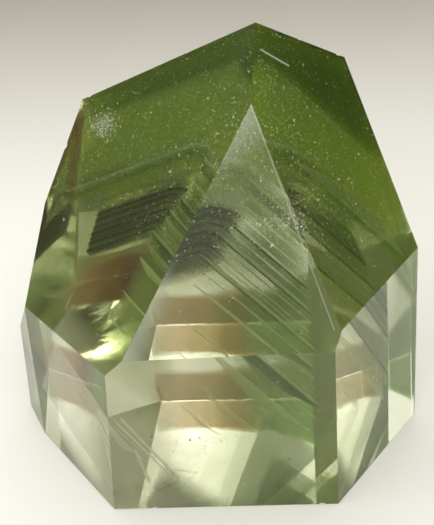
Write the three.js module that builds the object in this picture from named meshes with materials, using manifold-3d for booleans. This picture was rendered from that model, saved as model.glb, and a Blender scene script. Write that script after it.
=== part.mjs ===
// A polished point of clear quartz, grown as one piece, standing on its flat sawn base.
// Millimetres, +Z up. The origin is the middle of the base's outline box, at the level that it rests on.
// The front, a triangle over a wide upright face, looks along -Y.
import * as THREE from "three";
import { mergeVertices } from "three/addons/utils/BufferGeometryUtils.js";
import Module from "manifold-3d";

const wasm = await Module();
wasm.setup();

// The flat faces. Azimuth is the way that a face looks, in degrees counter-clockwise from +X. Slope is its
// angle from level: 90 is upright, and a little more leans in towards the base. Distance is measured square
// to the face, from the origin.
const FACES = {
  front: { azimuth: 270, slope: 90.5, distance: 15.57 },
  frontRight: { azimuth: 329.5, slope: 90, distance: 17.96 },
  backRight: { azimuth: 31.4, slope: 90.8, distance: 16.32 },
  back: { azimuth: 90, slope: 90, distance: 15.73 },
  backLeftCorner: { azimuth: 129, slope: 98.4, distance: 16 },
  backLeft: { azimuth: 151.5, slope: 90.5, distance: 18.35 },
  leftSliver: { azimuth: 201, slope: 91, distance: 18.09 },
  frontLeft: { azimuth: 212.5, slope: 89.5, distance: 17.03 },
  frontTriangle: { azimuth: 269, slope: 55, distance: 23.28 },
  rightRoof: { azimuth: 329, slope: 53, distance: 26.44 },
  leftRoof: { azimuth: 208, slope: 48, distance: 22.96 },
  backRoof: { azimuth: 90, slope: 54, distance: 29.04 },
  leftCorner: { azimuth: 179.5, slope: 75, distance: 22.12 },
};
const ROUGH_HEIGHT = 60; // of the block that the faces are cut from
const ROUGH_WIDTH = 70;

// Small shell-shaped nicks in the edges. Each sits where two faces meet, at one given coordinate, and is a
// scoop of a ball of this radius that bites this deep.
const BALL_DETAIL = 3; // how often the faces of the ball are split
const NICKS = [
  { edge: ["leftRoof", "backLeft"], axis: "z", at: 25.6, radius: 0.55, depth: 0.16 },
  { edge: ["rightRoof", "backRoof"], axis: "x", at: 12.9, radius: 0.6, depth: 0.12 },
  { edge: ["rightRoof", "backRoof"], axis: "x", at: 9.1, radius: 0.4, depth: 0.08 },
  { edge: ["leftRoof", "backRoof"], axis: "x", at: -12.4, radius: 0.5, depth: 0.12 },
  { edge: ["backLeft", "leftCorner"], axis: "z", at: 12.6, radius: 0.6, depth: 0.12 },
  { edge: ["front", "base"], axis: "x", at: 10.1, radius: 0.6, depth: 0.14 },
  { edge: ["front", "base"], axis: "x", at: -6.3, radius: 0.45, depth: 0.1 },
  { edge: ["frontRight", "base"], axis: "x", at: 17.2, radius: 0.55, depth: 0.12 },
  { edge: ["backRight", "base"], axis: "x", at: 12.4, radius: 0.7, depth: 0.16 },
  { edge: ["back", "backRoof"], axis: "x", at: -3.8, radius: 0.5, depth: 0.1 },
  { edge: ["back", "base"], axis: "x", at: -5.5, radius: 0.5, depth: 0.1 },
  { edge: ["back", "base"], axis: "x", at: -0.9, radius: 1.4, depth: 0.12 },
  { edge: ["back", "base"], axis: "x", at: 0.4, radius: 1.8, depth: 0.1 },
  { edge: ["back", "base"], axis: "x", at: 1.8, radius: 1.2, depth: 0.12 },
];

const base = new THREE.Plane(new THREE.Vector3(0, 0, -1), 0);

// The plane of a named face, with its normal pointing out of the crystal.
function facePlane(name) {
  if (name === "base") return base;
  const { azimuth, slope, distance } = FACES[name];
  const turn = THREE.MathUtils.degToRad(azimuth);
  const tilt = THREE.MathUtils.degToRad(slope);
  const normal = new THREE.Vector3(
    Math.sin(tilt) * Math.cos(turn),
    Math.sin(tilt) * Math.sin(turn),
    Math.cos(tilt),
  );
  return new THREE.Plane(normal, -distance);
}

// A closed three.js geometry as a solid that can be cut.
function solidOf(geometry) {
  const bare = geometry.clone();
  bare.deleteAttribute("normal");
  bare.deleteAttribute("uv");
  const merged = mergeVertices(bare);
  return new wasm.Manifold(
    new wasm.Mesh({
      numProp: 3,
      vertProperties: new Float32Array(merged.attributes.position.array),
      triVerts: new Uint32Array(merged.index.array),
    }),
  );
}

function geometryOf(solid) {
  const mesh = solid.getMesh();
  const geometry = new THREE.BufferGeometry();
  geometry.setAttribute("position", new THREE.BufferAttribute(new Float32Array(mesh.vertProperties), 3));
  geometry.setIndex(new THREE.BufferAttribute(new Uint32Array(mesh.triVerts), 1));
  return geometry;
}

// Everything on the outer side of a plane, as a block that is larger than the rough.
function wasteBeyond(plane) {
  const size = 2 * ROUGH_WIDTH;
  const block = new THREE.BoxGeometry(size, size, size);
  const outwards = new THREE.Quaternion().setFromUnitVectors(new THREE.Vector3(0, 0, 1), plane.normal);
  const middle = plane.normal.clone().multiplyScalar(size / 2 - plane.constant);
  block.applyQuaternion(outwards);
  block.translate(middle.x, middle.y, middle.z);
  return solidOf(block);
}

// The rough block, cut once for each flat face.
function facetedPoint() {
  const rough = new THREE.BoxGeometry(ROUGH_WIDTH, ROUGH_WIDTH, ROUGH_HEIGHT);
  rough.translate(0, 0, ROUGH_HEIGHT / 2);
  return Object.keys(FACES).reduce(
    (solid, name) => solid.subtract(wasteBeyond(facePlane(name))),
    solidOf(rough),
  );
}

// The point where two faces and one level of an axis meet.
function pointOnEdge(edge, axis, at) {
  const level = { x: 0, y: 0, z: 0, [axis]: 1 };
  const planes = [...edge.map(facePlane), new THREE.Plane(new THREE.Vector3(level.x, level.y, level.z), -at)];
  const rows = planes.flatMap(({ normal }) => [normal.x, normal.y, normal.z]);
  const distances = new THREE.Vector3(...planes.map(({ constant }) => -constant));
  return distances.applyMatrix3(new THREE.Matrix3(...rows).invert());
}

// The ball that takes a nick out of an edge.
function nickBall({ edge, axis, at, radius, depth }) {
  const outwards = edge
    .map((name) => facePlane(name).normal)
    .reduce((sum, normal) => sum.add(normal), new THREE.Vector3())
    .normalize();
  const middle = pointOnEdge(edge, axis, at).addScaledVector(outwards, radius - depth);
  const ball = new THREE.IcosahedronGeometry(radius, BALL_DETAIL);
  ball.translate(middle.x, middle.y, middle.z);
  return solidOf(ball);
}

// The finished crystal, moved so that the origin is the middle of its outline box.
function crystalGeometry() {
  const nicked = NICKS.reduce((solid, nick) => solid.subtract(nickBall(nick)), facetedPoint());
  const geometry = geometryOf(nicked);
  geometry.computeBoundingBox();
  const middle = geometry.boundingBox.getCenter(new THREE.Vector3());
  geometry.translate(-middle.x, -middle.y, -geometry.boundingBox.min.z);
  return geometry;
}

const paleGreenQuartz = new THREE.MeshStandardMaterial({ color: 0x9aa883, roughness: 0.08, metalness: 0 });

const crystal = new THREE.Mesh(crystalGeometry(), paleGreenQuartz);
crystal.name = "crystal";

const object = new THREE.Group();
object.add(crystal);

export default object;
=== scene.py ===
# The looks of a polished quartz point with green chlorite phantoms inside. The crystal itself is the CAD
# node. All that is added to it lies inside: hazy layers and flakes of chlorite that settled on the faces the
# crystal had at earlier stages of its growth, with pale flakes among them whose light colour is a painted
# glint, brown iron stain, milky fractures, dark grains, and white strips just inside two edges that are a
# painted highlight of the lamps on those edges.
import math

import bpy
import numpy as np
from mathutils import Matrix, Vector


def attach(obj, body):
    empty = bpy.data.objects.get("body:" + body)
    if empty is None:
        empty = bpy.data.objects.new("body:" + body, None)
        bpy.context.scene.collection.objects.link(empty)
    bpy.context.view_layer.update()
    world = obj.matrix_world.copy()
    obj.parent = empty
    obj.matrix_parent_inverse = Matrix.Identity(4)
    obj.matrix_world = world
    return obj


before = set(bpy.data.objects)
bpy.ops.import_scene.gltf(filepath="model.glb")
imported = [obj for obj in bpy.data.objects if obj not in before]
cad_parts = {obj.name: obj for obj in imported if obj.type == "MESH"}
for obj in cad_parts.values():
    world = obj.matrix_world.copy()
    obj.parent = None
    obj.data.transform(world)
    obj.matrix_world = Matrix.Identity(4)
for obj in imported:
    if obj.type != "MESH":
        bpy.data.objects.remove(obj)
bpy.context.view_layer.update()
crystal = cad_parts["crystal"]

MM = 0.001
SEED = 11

# The camera that took the photograph: angles in degrees, lengths in mm, lens in mm on a 36 mm frame.
VIEW_TURN = 2.4
VIEW_DOWN = 33.38
VIEW_ROLL = 2.91
VIEW_DISTANCE = 240.0
VIEW_LENS = 142.8
AIM_RIGHT = 0.36
AIM_BACK = 27.79

# The faces of the growing tip. Each looks this way, in degrees, at this angle from level.
BACK, BACK_RIGHT, FRONT_RIGHT, FRONT, FRONT_LEFT = 90, 32, 330, 270, 210
TIP_FACES = (BACK, BACK_RIGHT, FRONT_RIGHT, FRONT, FRONT_LEFT)
HAZY_FACES = (BACK, BACK_RIGHT)
TIP_SLOPE = 51.8

# A stage of growth is named by the height of the tip at that time, in mm. The tips stood on one line, which
# leans to the right. The upright sides of the tip stayed in place.
TIP_AT = np.array((-2.1, 5.13, 12.5))
TIP_WAY = np.array((0.24, 0.03, 1.0))
RIGHT_SIDE, LEFT_SIDE = (30, 11.6), (150, 12.0)  # which way each looks, and how far it is from the middle
SIDES = (RIGHT_SIDE, LEFT_SIDE)
# The back right face ran this far ahead of the others, by stage.
LEAD_STAGES, LEAD = (16, 22, 26, 40), (0, 1.6, 1.6, 0)

# The layers that show as lines: the stage at which each began and how long it went on. Those on the back
# face are dark. Those on the back right face are pale, and go round its ridge on to the back face.
BACK_LINES = ((15.9, 0.34), (16.9, 0.42), (17.65, 0.2), (18.15, 0.5), (19.2, 0.4), (20.15, 0.5), (21.0, 0.5))
SIDE_LINES = (
    (4.2, 0.18), (7.8, 0.2), (12.2, 0.35), (14.2, 0.16), (15.75, 0.3), (16.5, 0.1), (17.05, 0.15),
    (18.1, 0.22), (18.8, 0.1), (19.15, 0.35), (20.3, 0.14), (21.4, 0.16), (22.6, 0.1), (23.9, 0.2),
)
DARK_SIDE_LINES = ((21.0, 21.3), (15.4, 15.65), (18.85, 19.05))
PALE_BAND = (26.85, 27.1)
# How far from its ridge each kind of layer on the back face thins to nothing, mm.
LINE_REACH, BACK_HAZE_REACH, RIDGE_HAZE_REACH, DARK_FLAKE_REACH = 6.5, 7, 9, 6
ROUND_RIDGE_REACH, ROUND_RIDGE_SHARE = 4, 0.7  # of a pale line that goes round the ridge
ROUND_RIDGE_FROM = 3  # the first of SIDE_LINES that goes round

# The stages that each haze fills.
UPPER_HAZE = ((25.0, 25.6), (28.5, 37.4))
DEEP_HAZE = ((25.65, 26.7), (37.42, 46.0))
LIGHT_HAZE = (26.8, 28.4)
LOW_SIDE_HAZE = ((4.9, 7.7), (8.2, 12.1))
RIDGE_HAZE = (12.4, 15.8)
BELOW_UPPER_HAZE = (23.6, 25.0)
WALL_HAZE = (19.2, 21.95)
RIM_HAZE = (12.4, 24.9)
BACK_HAZE_END, SIDE_HAZE_END = 22.0, 25.0
THIN_GAPS = 6  # the side haze is thin in this many gaps between its lines, from the lowest

# What each haze is like: the share of light stopped per mm, where that is small, its colour, and how much
# deeper than plain dust it stains the light.
HAZES = {
    "haze_faint": (0.004, (0.93, 0.93, 0.50), 1.5),
    "haze_upper": (0.18, (0.55, 0.70, 0.11), 1.5),
    "haze_deep": (0.34, (0.28, 0.42, 0.03), 1.5),
    "haze_light": (0.06, (0.52, 0.65, 0.22), 1.5),
    "haze_back": (0.7, (0.34, 0.46, 0.09), 2),
    "haze_wall": (0.12, (0.50, 0.60, 0.26), 1.5),
    "haze_side_low": (0.05, (0.42, 0.58, 0.16), 1.5),
    "haze_side": (0.16, (0.38, 0.56, 0.12), 2.5),
    "haze_right_rim": (0.05, (0.66, 0.80, 0.40), 1),
    "haze_left_rim": (0.09, (0.56, 0.66, 0.30), 1.5),
    "dark_back": (3.6, (0.10, 0.17, 0.02), 1.5),
    "dark_side": (3.0, (0.16, 0.28, 0.04), 1.5),
    "pale_side": (0.75, (0.66, 0.80, 0.40), 1),
    "stain_tan": (1.4, (0.76, 0.64, 0.40), 1.5),
    "stain_brown": (1.1, (0.62, 0.38, 0.05), 4),
    "stain_edge": (1.2, (0.50, 0.36, 0.10), 1.5),
    "film_green": (1.0, (0.38, 0.60, 0.12), 4),
    "dark_corner": (2.2, (0.18, 0.20, 0.03), 1.5),
    "fractures": (7.0, (0.97, 0.96, 0.90), 1.5),
    "milky_cloud": (0.06, (0.97, 0.96, 0.88), 1.5),
    # The glints are a painted highlight along two edges.
    "glints": (8.0, (0.98, 0.98, 0.92), 1.5),
}
SURFACE_GAP = 0.1  # from the haze to the crystal's own faces, mm
LAYER_GAP = 0.02  # between neighbouring layers
FILM_GAP = 0.08  # from a film on the back faces to the faces
EDGE_STAIN_GAP, GLINT_GAP = 0.05, 0.03

BACK_WALL = 15.65  # the outer side of the films on the back face
FILM_BEVEL = 0.6  # how fast a film gets thicker below its top edge
CORNER_WAY = np.array((-0.6226, 0.7689, -0.1461))  # which way the slanting face at the back left looks
CORNER_AT = 16.0

# Milky fractures: the middle of each, the way that it faces, a way along it, and its length and depth.
FRACTURES = (
    ((-8.4, -12.2, 7.8), (0.77, 0.29, 0.57), (0.58, 0.0, -0.79), 6.0, 1.6),
    ((-6.5, -12.4, 6.0), (0.82, 0.08, 0.57), (0.57, -0.05, -0.82), 9.0, 1.4),
    ((-7.2, -12.0, 5.9), (0.78, 0.20, 0.58), (0.60, -0.03, -0.80), 8.0, 1.2),
    ((-7.6, -10.9, 5.4), (0.73, 0.30, 0.61), (0.64, 0.0, -0.77), 7.0, 1.6),
    ((-8.6, -10.7, 5.6), (0.75, 0.28, 0.60), (0.62, 0.0, -0.78), 5.0, 1.2),
    ((-11.6, -9.0, 8.6), (0.57, 0.10, 0.81), (0.53, -0.81, -0.26), 5.0, 1.5),
    ((-11.0, -8.8, 7.9), (0.60, 0.08, 0.79), (0.51, -0.79, -0.33), 4.0, 1.2),
    ((-10.3, -8.2, 6.5), (0.68, 0.01, 0.73), (0.48, -0.74, -0.43), 6.5, 1.6),
    ((-11.6, -7.6, 9.6), (0.50, 0.15, 0.85), (0.53, -0.83, -0.16), 4.5, 1.4),
    ((-7.5, -10.0, 2.9), (0.95, -0.07, 0.30), (0.31, -0.07, -0.95), 4.0, 1.4),
)
FRACTURE_THICKNESS = 0.04

FLAKES_FROM = 1800000  # the points that the flakes are picked from
FLAKE_GREEN, FLAKE_DARK = (0.16, 0.24, 0.05), (0.045, 0.075, 0.015)
# FLAKE_BRIGHT and FLAKE_WHITE paint the glint of light on chlorite flakes; FLAKE_WHITE is also the colour of
# the milky frost.
FLAKE_BRIGHT, FLAKE_WHITE = (0.74, 0.85, 0.36), (0.95, 0.95, 0.88)
GRAIN_DARK = (0.03, 0.028, 0.018)
# Small clouds of flakes: the middle, the spread each way, and how many.
FROST = (((-10.9, 10.4, 28.1), (1.0, 1.2, 0.4), 1500), ((7.4, -7.7, 27.5), (1.4, 0.8, 1.0), 900))
GRAINS = ((-2.2, -12.5, 6.4), (2.2, 0.8, 1.0), 70)

QUARTZ_IOR = 1.544
QUARTZ_TINT, QUARTZ_DEPTH = (0.94, 0.955, 0.50, 1), 15  # the absorption colour and its density per m

FLOOR_REACH, FLOOR_DROP = 1.5, 0.0001  # half its width, and how far it lies below the crystal, m
# The floor's darkening behind the crystal is painted shade.
FLOOR_NEAR, FLOOR_FAR = (0.80, 0.79, 0.74, 1), (0.27, 0.24, 0.19, 1)
FLOOR_FADE = (0.02, 0.12)  # the floor darkens between these places behind the crystal, m

# How bright the sky is, by the sine of the angle above the horizon.
SKY = ((0.0, (0.15, 0.13, 0.11)), (0.34, (0.24, 0.23, 0.20)),
       (0.5, (0.9, 0.89, 0.86)), (0.62, (1.9, 1.89, 1.82)))
BRIGHT_AZIMUTH, DIM_SIDE = 138, 0.32  # the side that the sky is brightest on, and the share left opposite
# Round soft lamps in the sky: azimuth, height, radiance, and how far from the middle the full brightness
# and the glow end, in degrees.
LAMPS = ((-102.6, 46, 4.0, 8.3, 9.6), (-78, 50.5, 4.0, 8.3, 9.5), (-57, 54.5, 4.0, 8.3, 9.5),
         (-105.5, 36.5, 4.0, 7, 7.8), (-127, 31, 2.6, 6, 8))


def upright(azimuth):
    turn = math.radians(azimuth)
    return np.array((math.cos(turn), math.sin(turn), 0.0))


def above(azimuth, height):
    """The way to a point in the sky, with its angles in degrees."""
    up = math.radians(height)
    return upright(azimuth) * math.cos(up) + np.array((0, 0, math.sin(up)))


def tip_normal(azimuth):
    tilt = math.radians(TIP_SLOPE)
    return upright(azimuth) * math.sin(tilt) + np.array((0, 0, math.cos(tilt)))


def tip_at(stage):
    return TIP_AT + TIP_WAY * (stage - TIP_AT[2])


def from_ridge(face, other):
    """The way on one face of the tip that leads straight away from its ridge with another."""
    normal = tip_normal(face)
    ridge = np.cross(normal, tip_normal(other))
    away = np.cross(ridge / np.linalg.norm(ridge), normal)
    return away * -np.sign(away @ tip_normal(other))


def crystal_faces(least_area=4.0):
    """The crystal's large flat faces as rows of normal and distance, in mm."""
    areas = {}
    for face in crystal.data.polygons:
        place = face.normal.dot(crystal.data.vertices[face.vertices[0]].co) / MM
        key = tuple(round(value, 2) for value in (*face.normal, place))
        areas.setdefault(key, [0.0, (*face.normal, place)])[0] += face.area / MM**2
    return np.array([row for area, row in areas.values() if area > least_area])


FACES = crystal_faces()


def inside(points, inset):
    return np.all(points @ FACES[:, :3].T <= FACES[:, 3] - inset, axis=1)


def placed(name, mesh, made):
    mesh.validate()
    mesh.materials.append(made)
    piece = bpy.data.objects.new(name, mesh)
    bpy.context.scene.collection.objects.link(piece)
    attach(piece, "root")
    return piece


def surface(name, colour, roughness, **more):
    """A material with one colour. Further sockets are given by name, with _ for a space."""
    made = bpy.data.materials.new(name)
    made.use_nodes = True
    shader = made.node_tree.nodes["Principled BSDF"]
    shader.inputs["Base Color"].default_value = (*colour, 1)
    shader.inputs["Roughness"].default_value = roughness
    for socket, value in more.items():
        shader.inputs[socket.replace("_", " ")].default_value = value
    return made


def haze(name):
    """Fine dust that fills a solid. Its surface is fully see-through, so only the volume shows."""
    density, colour, stain = HAZES[name]
    made = surface(name, colour, 0.9, Alpha=0.0)
    tree = made.node_tree
    both = tree.nodes.new("ShaderNodeAddShader")
    parts = (("ShaderNodeVolumeScatter", density), ("ShaderNodeVolumeAbsorption", density * stain))
    for place, (kind, strength) in enumerate(parts):
        part = tree.nodes.new(kind)
        part.inputs["Color"].default_value = (*colour, 1)
        part.inputs["Density"].default_value = strength / MM
        tree.links.new(part.outputs[0], both.inputs[place])
    tree.links.new(both.outputs[0], tree.nodes["Material Output"].inputs["Volume"])
    return made


def dress_quartz():
    made = surface("quartz", (1, 1, 1), 0.0, IOR=QUARTZ_IOR, Transmission_Weight=1.0)
    tree = made.node_tree
    absorb = tree.nodes.new("ShaderNodeVolumeAbsorption")
    absorb.inputs["Color"].default_value = QUARTZ_TINT
    absorb.inputs["Density"].default_value = QUARTZ_DEPTH
    tree.links.new(absorb.outputs[0], tree.nodes["Material Output"].inputs["Volume"])
    crystal.data.materials.clear()
    crystal.data.materials.append(made)


def meeting_points(normals, places):
    """The corners of the solid inside all these planes, each listed once."""
    count = len(normals)
    sets = np.array([(i, j, k) for i in range(count) for j in range(i) for k in range(j)])
    sets = sets[np.abs(np.linalg.det(normals[sets])) > 1e-6]
    found = np.linalg.solve(normals[sets], places[sets][:, :, None])[:, :, 0]
    corners = []
    for corner in found[np.all(found @ normals.T <= places + 1e-6, axis=1)]:
        if all(np.linalg.norm(corner - other) > 2e-3 for other in corners):
            corners.append(corner)
    return np.array(corners)


def convex(planes):
    """Corners and faces of the solid inside all the planes, given as rows of normal and distance."""
    planes = planes / np.linalg.norm(planes[:, :3], axis=1, keepdims=True)
    normals, places = planes[:, :3], planes[:, 3]
    corners, faces = meeting_points(normals, places), []
    if len(corners) < 4:
        return corners, faces
    for normal, place in zip(normals, places):
        on = np.where(np.abs(corners @ normal - place) < 3e-3)[0]
        if len(on) < 3:
            continue
        spokes = corners[on] - corners[on].mean(axis=0)
        first = spokes[0] / np.linalg.norm(spokes[0])
        angle = np.arctan2(spokes @ np.cross(normal, first), spokes @ first)
        faces.append([int(i) for i in on[np.argsort(angle)]])
    return corners, faces


def solids(name, planes, gap=SURFACE_GAP):
    """One piece of haze with a solid for each set of planes, cut off at the crystal's faces."""
    walls = [(*row[:3], row[3] - gap) for row in FACES]
    points, faces = [], []
    for rows in planes:
        corners, polygons = convex(np.array([*rows, *walls]))
        if len(polygons) > 3:
            faces += [[i + len(points) for i in polygon] for polygon in polygons]
            points += [tuple(corner * MM) for corner in corners]
    mesh = bpy.data.meshes.new(name)
    mesh.from_pydata(points, [], faces)
    return placed(name, mesh, haze(name))


def lead_of(face, stage):
    return float(np.interp(stage, LEAD_STAGES, LEAD)) if face == BACK_RIGHT else 0.0


def layer(face, low, high, ridge_with=None, reach=0.0, all_out=False):
    """The planes round what grew on one face of the tip between two stages. With ridge_with, the layer
    thins away from its ridge with that face, to nothing at this reach. With all_out, it runs on past the
    upright sides."""
    normal = tip_normal(face)
    top, bottom = normal @ tip_at(high) - LAYER_GAP, normal @ tip_at(low) + LAYER_GAP
    rows = [(*normal, top)]
    if ridge_with:
        thinning = (top - bottom) / reach * from_ridge(face, ridge_with)
        rows.append((*(thinning - normal), thinning @ tip_at(high) - bottom))
    else:
        rows.append((*-normal, -bottom))
    middle = (low + high) / 2
    for other in TIP_FACES:
        if other != face:
            far = tip_normal(other)
            way = far / (TIP_WAY @ far) - normal / (TIP_WAY @ normal)
            ahead = lead_of(other, middle) - lead_of(face, middle)
            rows.append((*way, way @ TIP_AT + ahead - LAYER_GAP))
    if not all_out:
        rows += [(*upright(azimuth), distance) for azimuth, distance in SIDES]
    return rows


def beyond(planes, side):
    """What lies on the outer side of one upright side."""
    azimuth, distance = side
    return [*planes, (*-upright(azimuth), -distance - LAYER_GAP)]


def rim(face, side):
    return [beyond(layer(face, *RIM_HAZE, all_out=True), side)]


def gaps(lines, last):
    """What lies between neighbouring lines, and from the last line to this stage."""
    starts = [begun + length for begun, length in lines]
    ends = [*(begun for begun, _ in lines[1:]), last]
    return zip(starts, ends)


def slab(middle, normal, along, length, depth, thickness):
    """The planes of a flat block."""
    middle, normal, along = (np.array(v, float) for v in (middle, normal, along))
    normal /= np.linalg.norm(normal)
    along -= normal * (along @ normal)
    along /= np.linalg.norm(along)
    across = np.cross(normal, along)
    rows = []
    for way, size in ((normal, thickness), (along, length), (across, depth)):
        rows += [(*way, way @ middle + size / 2), (*-way, -way @ middle + size / 2)]
    return rows


def film(left, right, top_left, top_right, thick_left, thick_right):
    """The planes of a film on the back face, with the height and thickness of its left and right ends."""
    rise = (top_right - top_left) / (right - left)
    growth = (thick_right - thick_left) / (right - left)
    inner = (-growth, -1.0, 0.0, thick_left - growth * left - BACK_WALL)
    bevel = (-FILM_BEVEL * rise, -1.0, FILM_BEVEL, FILM_BEVEL * (top_left - rise * left) - BACK_WALL)
    return [(-1, 0, 0, -left), (1, 0, 0, right), inner, bevel]


def on_corner(thickness, bottom, top, thinning=0.0):
    """The planes of a film on the slanting face, which may get thinner to the left."""
    inner = -CORNER_WAY - (thinning, 0, 0)
    return [(*inner, thickness - CORNER_AT), (0, 0, -1, -bottom), (0, 0, 1, top)]


def make_haze():
    """The green haze between the lines, and a trace of it through the whole crystal."""
    upper = [layer(face, *span, all_out=True) for face in HAZY_FACES for span in UPPER_HAZE]
    upper += [layer(BACK, *BELOW_UPPER_HAZE, FRONT_LEFT, RIDGE_HAZE_REACH)]
    solids("haze_upper", upper)
    deep = [layer(face, *span, all_out=True) for face in HAZY_FACES for span in DEEP_HAZE]
    solids("haze_deep", deep)
    light = [layer(BACK_RIGHT, *span) for span in LOW_SIDE_HAZE]
    light += [layer(face, *LIGHT_HAZE, all_out=True) for face in HAZY_FACES]
    light += [layer(BACK, *RIDGE_HAZE, FRONT_LEFT, RIDGE_HAZE_REACH)]
    solids("haze_light", light)
    between = gaps(BACK_LINES, BACK_HAZE_END)
    back = [layer(BACK, *span, FRONT_LEFT, BACK_HAZE_REACH) for span in between]
    solids("haze_back", back)
    solids("haze_wall", [layer(BACK, *WALL_HAZE)])
    side = [layer(BACK_RIGHT, *span) for span in gaps(SIDE_LINES[2:], SIDE_HAZE_END)]
    solids("haze_side_low", side[:THIN_GAPS])
    solids("haze_side", side[THIN_GAPS:])
    solids("haze_right_rim", rim(BACK_RIGHT, RIGHT_SIDE))
    solids("haze_left_rim", rim(BACK, LEFT_SIDE))
    solids("haze_faint", [[(0, 0, 1, 60)]])


def make_lines():
    dark = [layer(BACK, begun, begun + length, FRONT_LEFT, LINE_REACH) for begun, length in BACK_LINES]
    solids("dark_back", dark)
    pale = [layer(BACK_RIGHT, begun, begun + length) for begun, length in SIDE_LINES]
    for begun, length in SIDE_LINES[ROUND_RIDGE_FROM:]:
        end = begun + ROUND_RIDGE_SHARE * length
        pale.append(layer(BACK, begun, end, BACK_RIGHT, ROUND_RIDGE_REACH))
    pale += [layer(face, *PALE_BAND, all_out=True) for face in HAZY_FACES]
    solids("pale_side", pale)
    solids("dark_side", [layer(BACK_RIGHT, *span) for span in DARK_SIDE_LINES])


def make_films():
    """Chlorite and iron stain on the inner side of the back faces."""
    tan = [film(-6.9, -0.6, 4.2, 3.8, 0.5, 0.0), on_corner(0.94, 0.0, 3.4, 0.11)]
    solids("stain_tan", tan, FILM_GAP)
    brown = [film(-6.6, -1.0, 3.4, 3.8, 0.05, 0.35), film(-1.0, 2.2, 3.8, 4.4, 0.35, 0.75)]
    brown += [film(2.2, 4.6, 4.4, 4.6, 0.75, 0.0)]
    solids("stain_brown", brown, FILM_GAP)
    green = [film(2.2, 5.0, 3.8, 4.2, 0.0, 0.8), film(5.0, 11.5, 4.2, 7.6, 0.8, 0.8)]
    green += [on_corner(0.05, 0.0, 7.5)]
    solids("film_green", green, FILM_GAP)
    patch = [*on_corner(0.5, 10.3, 13.6), (1, 0, 0, -10.5)]
    solids("dark_corner", [patch], FILM_GAP)
    edge = slab((-11.65, 14.75, 20.0), CORNER_WAY, (-1.3, 0.5, 12.0), 12, 1.0, 0.8)
    solids("stain_edge", [edge], EDGE_STAIN_GAP)


def make_fractures():
    """Milky fractures and the cloud round them, and white strips inside the top and right edges that paint
    the lamps' highlight on them.
    """
    solids("fractures", [slab(*row, FRACTURE_THICKNESS) for row in FRACTURES])
    cloud = slab((-10.0, -6.5, 5.5), (0.6, 0.1, 0.8), (0.57, -0.5, -0.4), 15, 12, 7.5)
    solids("milky_cloud", [cloud])
    # Painted highlight: bright white haze just under the top and right edges, where the lamps shine on them.
    right_edge = slab((7.95, -8.3, 28.6), (0.94, 0.31, 0.17), (7.2, -12.3, -17.4), 22.4, 0.12, 0.12)
    top_edge = slab((6.45, 4.45, 38.5), (0.44, 0.56, 0.7), (2.6, 1.4, -2.7), 3.9, 0.3, 0.2)
    solids("glints", [right_edge, top_edge], GLINT_GAP)


def flake_mesh(name, corners):
    """A mesh of separate triangles, three corners in mm for each."""
    count = len(corners)
    mesh = bpy.data.meshes.new(name)
    mesh.vertices.add(count)
    mesh.vertices.foreach_set("co", (corners * MM).astype(np.float32).ravel())
    mesh.loops.add(count)
    mesh.loops.foreach_set("vertex_index", np.arange(count, dtype=np.int32))
    mesh.polygons.add(count // 3)
    mesh.polygons.foreach_set("loop_start", np.arange(0, count, 3, dtype=np.int32))
    mesh.update(calc_edges=True)
    return mesh


def triangles(rng, centres, radius, spread):
    """The corners of one small triangle at each centre, turned at random."""
    count = len(centres)
    facing = rng.normal(size=(count, 3))
    facing /= np.linalg.norm(facing, axis=1, keepdims=True)
    first = np.cross(facing, rng.normal(size=(count, 3)))
    first /= np.linalg.norm(first, axis=1, keepdims=True)
    second = np.cross(facing, first)
    size = radius * np.exp(rng.normal(0, spread, size=(count, 1)))
    corners = []
    for turn in (0.0, 2.1, 4.2):
        angle = turn + rng.uniform(-0.5, 0.5, size=(count, 1))
        corners.append(centres + size * (np.cos(angle) * first + np.sin(angle) * second))
    return np.stack(corners, axis=1).reshape(-1, 3)


def add_flakes(name, rng, centres, radius, made, spread=0.35):
    placed(name, flake_mesh(name, triangles(rng, centres, radius, spread)), made)


def waves(rng, points, length):
    """A smooth random value near 0 with a spread of about 1, which varies over this length in mm."""
    total = np.zeros(len(points))
    for _ in range(6):
        way = rng.normal(size=3)
        way *= 2 * math.pi / (np.linalg.norm(way) * length * rng.uniform(0.6, 1.6))
        total += np.sin(points @ way + rng.uniform(0, 2 * math.pi))
    return total / math.sqrt(3)


def stages(points):
    """The stage at which the quartz grew at each point, and which of TIP_FACES grew over it."""
    heights = []
    for azimuth in TIP_FACES:
        normal = tip_normal(azimuth)
        height = TIP_AT[2] + (points - TIP_AT) @ normal / (TIP_WAY @ normal)
        if azimuth == BACK_RIGHT:
            height = height - np.interp(height, LEAD_STAGES, LEAD)
        heights.append(height)
    heights = np.array(heights)
    return heights.max(axis=0), heights.argmax(axis=0)


def scattered(rng, count):
    """Points spread evenly through the crystal."""
    points = rng.uniform((-20, -16, 0), (20, 16, 42), size=(count, 3))
    return points[inside(points, 0.15)]


def in_prism(points):
    return np.all([points @ upright(azimuth) <= distance for azimuth, distance in SIDES], axis=0)


def ridge_distance(points, height):
    """How far the points on the back face of their stage are from its ridge with the front left face."""
    tips = TIP_AT + (height - TIP_AT[2])[:, None] * TIP_WAY
    return (points - tips) @ from_ridge(BACK, FRONT_LEFT)


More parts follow.
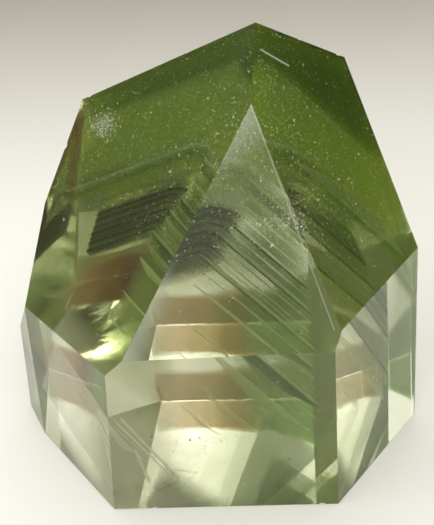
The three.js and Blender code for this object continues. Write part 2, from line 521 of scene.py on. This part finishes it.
def make_flakes():
    """Dull flakes in the haze and the dark lines, and pale ones among them whose light colour is a painted
    glint.
    """
    rng = np.random.default_rng(SEED)
    points = scattered(rng, FLAKES_FROM)
    height, face = stages(points)
    way = np.array(TIP_FACES)[face]
    back, side = way == BACK, way == BACK_RIGHT
    held = in_prism(points)
    near = np.clip(1 - ridge_distance(points, height) / DARK_FLAKE_REACH, 0, 1)
    clump = np.exp(0.6 * waves(rng, points, 3.0))

    upper = (back | side) * np.interp(height, (22, 25, 38, 44), (0, 0.5, 0.7, 1.0))
    picked = points[rng.random(len(points)) < 0.10 * upper * clump]
    add_flakes("flakes_green", rng, picked, 0.06, surface("flake_green", FLAKE_GREEN, 0.8))

    dark = back * near * held * ((height > 15.6) & (height < 22))
    picked = points[rng.random(len(points)) < 0.7 * dark * clump]
    add_flakes("flakes_dark", rng, picked, 0.06, surface("flake_dark", FLAKE_DARK, 0.8))

    limbs = side * held * ((height > 12) & (height < 25)) * 0.3 + 0.4 * dark
    ahead = ~(back | side) * np.interp(height, (26, 34), (0, 0.3)) * (points[:, 2] > 20)
    # The pale and white flakes below have a painted glint: their light colour stands in for light glittering
    # off the chlorite.
    glitter = np.interp(points[:, 2], (20, 38), (0.3, 1.8)) * (upper + limbs + ahead) * clump
    glitter *= np.interp(height, (36.5, 38), (1, 0.35))
    picked = points[rng.random(len(points)) < 0.12 * glitter]
    bright = surface("flake_bright", FLAKE_BRIGHT, 0.3)
    add_flakes("flakes_bright", rng, picked, 0.062, bright, 0.4)
    picked = points[rng.random(len(points)) < 0.06 * glitter]
    white = surface("flake_white", FLAKE_WHITE, 0.2)
    add_flakes("flakes_white", rng, picked, 0.055, white, 0.4)

    frost = np.concatenate([rng.normal(middle, spread, size=(count, 3)) for middle, spread, count in FROST])
    add_flakes("frost", rng, frost[inside(frost, 0.15)], 0.05, white, 0.5)

    middle, spread, count = GRAINS
    grains = rng.normal(middle, spread, size=(count, 3))
    dull = surface("grain_dark", GRAIN_DARK, 0.6)
    add_flakes("grains_dark", rng, grains[inside(grains, 0.2)], 0.06, dull, 0.5)


def make_camera():
    turn, down, roll = (math.radians(a) for a in (VIEW_TURN, VIEW_DOWN, VIEW_ROLL))
    right = Vector((math.cos(turn), math.sin(turn), 0))
    level = Vector((-math.sin(turn), math.cos(turn), 0))
    ahead = level * math.cos(down) - Vector((0, 0, math.sin(down)))
    up = right.cross(ahead)
    x_axis = right * math.cos(roll) - up * math.sin(roll)
    y_axis = right * math.sin(roll) + up * math.cos(roll)
    aim = right * AIM_RIGHT + level * AIM_BACK
    camera = bpy.data.objects.new("camera", bpy.data.cameras.new("camera"))
    camera.data.lens = VIEW_LENS
    camera.data.clip_start = 0.01
    axes = Matrix((x_axis, y_axis, -ahead)).transposed().to_4x4()
    camera.matrix_world = Matrix.Translation((aim - ahead * VIEW_DISTANCE) * MM) @ axes
    bpy.context.scene.collection.objects.link(camera)
    bpy.context.scene.camera = camera


def floor_material():
    """Pale near the crystal, darker further behind it, in painted shade."""
    made = surface("floor", FLOOR_NEAR[:3], 0.8)
    tree = made.node_tree
    place = tree.nodes.new("ShaderNodeTexCoord")
    split = tree.nodes.new("ShaderNodeSeparateXYZ")
    tree.links.new(place.outputs["Object"], split.inputs[0])
    far = tree.nodes.new("ShaderNodeMapRange")
    far.inputs["From Min"].default_value, far.inputs["From Max"].default_value = FLOOR_FADE
    tree.links.new(split.outputs["Y"], far.inputs["Value"])
    ramp = tree.nodes.new("ShaderNodeValToRGB")
    ramp.color_ramp.interpolation = "EASE"
    ramp.color_ramp.elements[0].color = FLOOR_NEAR
    ramp.color_ramp.elements[1].color = FLOOR_FAR
    tree.links.new(far.outputs[0], ramp.inputs[0])
    tree.links.new(ramp.outputs[0], tree.nodes["Principled BSDF"].inputs["Base Color"])
    return made


def make_floor():
    mesh = bpy.data.meshes.new("floor")
    quarters = ((-1, -1), (1, -1), (1, 1), (-1, 1))
    corners = [(x * FLOOR_REACH, y * FLOOR_REACH, -FLOOR_DROP) for x, y in quarters]
    mesh.from_pydata(corners, [], [(0, 1, 2, 3)])
    mesh.materials.append(floor_material())
    floor = bpy.data.objects.new("floor", mesh)
    bpy.context.scene.collection.objects.link(floor)


def toward(tree, place, way):
    """How far each way in the sky points this way, from -1 to 1."""
    dot = tree.nodes.new("ShaderNodeVectorMath")
    dot.operation = "DOT_PRODUCT"
    dot.inputs[1].default_value = way
    tree.links.new(place, dot.inputs[0])
    return dot.outputs["Value"]


def sky_light(tree, place):
    """The sky's own light, brighter higher up and on one side."""
    split = tree.nodes.new("ShaderNodeSeparateXYZ")
    ramp = tree.nodes.new("ShaderNodeValToRGB")
    tree.links.new(place, split.inputs[0])
    tree.links.new(split.outputs["Z"], ramp.inputs[0])
    marks = ramp.color_ramp.elements
    while len(marks) < len(SKY):
        marks.new(1.0)
    for mark, (height, colour) in zip(marks, SKY):
        mark.position = height
        mark.color = (*colour, 1)
    level = tree.nodes.new("ShaderNodeMapRange")
    level.inputs["From Min"].default_value = -0.8
    level.inputs["From Max"].default_value = 0.8
    level.inputs["To Min"].default_value = DIM_SIDE
    tree.links.new(toward(tree, place, upright(BRIGHT_AZIMUTH)), level.inputs["Value"])
    sky = tree.nodes.new("ShaderNodeVectorMath")
    sky.operation = "SCALE"
    tree.links.new(ramp.outputs[0], sky.inputs[0])
    tree.links.new(level.outputs[0], sky.inputs["Scale"])
    return sky.outputs[0]


def with_lamp(tree, place, light, azimuth, height, radiance, inner, outer):
    glow = tree.nodes.new("ShaderNodeMapRange")
    glow.interpolation_type = "SMOOTHSTEP"
    glow.inputs["From Min"].default_value = math.cos(math.radians(outer))
    glow.inputs["From Max"].default_value = math.cos(math.radians(inner))
    glow.inputs["To Max"].default_value = radiance
    tree.links.new(toward(tree, place, above(azimuth, height)), glow.inputs["Value"])
    both = tree.nodes.new("ShaderNodeVectorMath")
    both.operation = "ADD"
    tree.links.new(light, both.inputs[0])
    tree.links.new(glow.outputs[0], both.inputs[1])
    return both.outputs[0]


def make_world():
    world = bpy.data.worlds.new("world")
    bpy.context.scene.world = world
    world.use_nodes = True
    tree = world.node_tree
    place = tree.nodes.new("ShaderNodeTexCoord").outputs["Generated"]
    light = sky_light(tree, place)
    for lamp in LAMPS:
        light = with_lamp(tree, place, light, *lamp)
    tree.links.new(light, tree.nodes["Background"].inputs["Color"])


def make_light(name, azimuth, height, distance, wide, high, radiance):
    """A soft box that faces the crystal, sizes in m."""
    light = bpy.data.lights.new(name, "AREA")
    light.shape = "RECTANGLE"
    light.size, light.size_y = wide, high
    light.energy = radiance * math.pi * wide * high
    lamp = bpy.data.objects.new(name, light)
    way = Vector(above(azimuth, height))
    lamp.location = way * distance + Vector((0, 0, 0.02))
    lamp.rotation_euler = way.to_track_quat("Z", "Y").to_euler()
    lamp.visible_camera = False
    bpy.context.scene.collection.objects.link(lamp)


make_camera()
make_floor()
make_world()
make_light("left", azimuth=-146, height=24, distance=1.0, wide=0.9, high=0.5, radiance=1.05)
dress_quartz()
make_haze()
make_lines()
make_films()
make_fractures()
make_flakes()

scene = bpy.context.scene
scene.cycles.use_denoising = True
scene.cycles.max_bounces = 32
scene.cycles.transmission_bounces = 24
scene.cycles.transparent_max_bounces = 96
scene.cycles.glossy_bounces = 8
scene.cycles.diffuse_bounces = 4
scene.cycles.volume_bounces = 12
scene.view_settings.view_transform = "Standard"
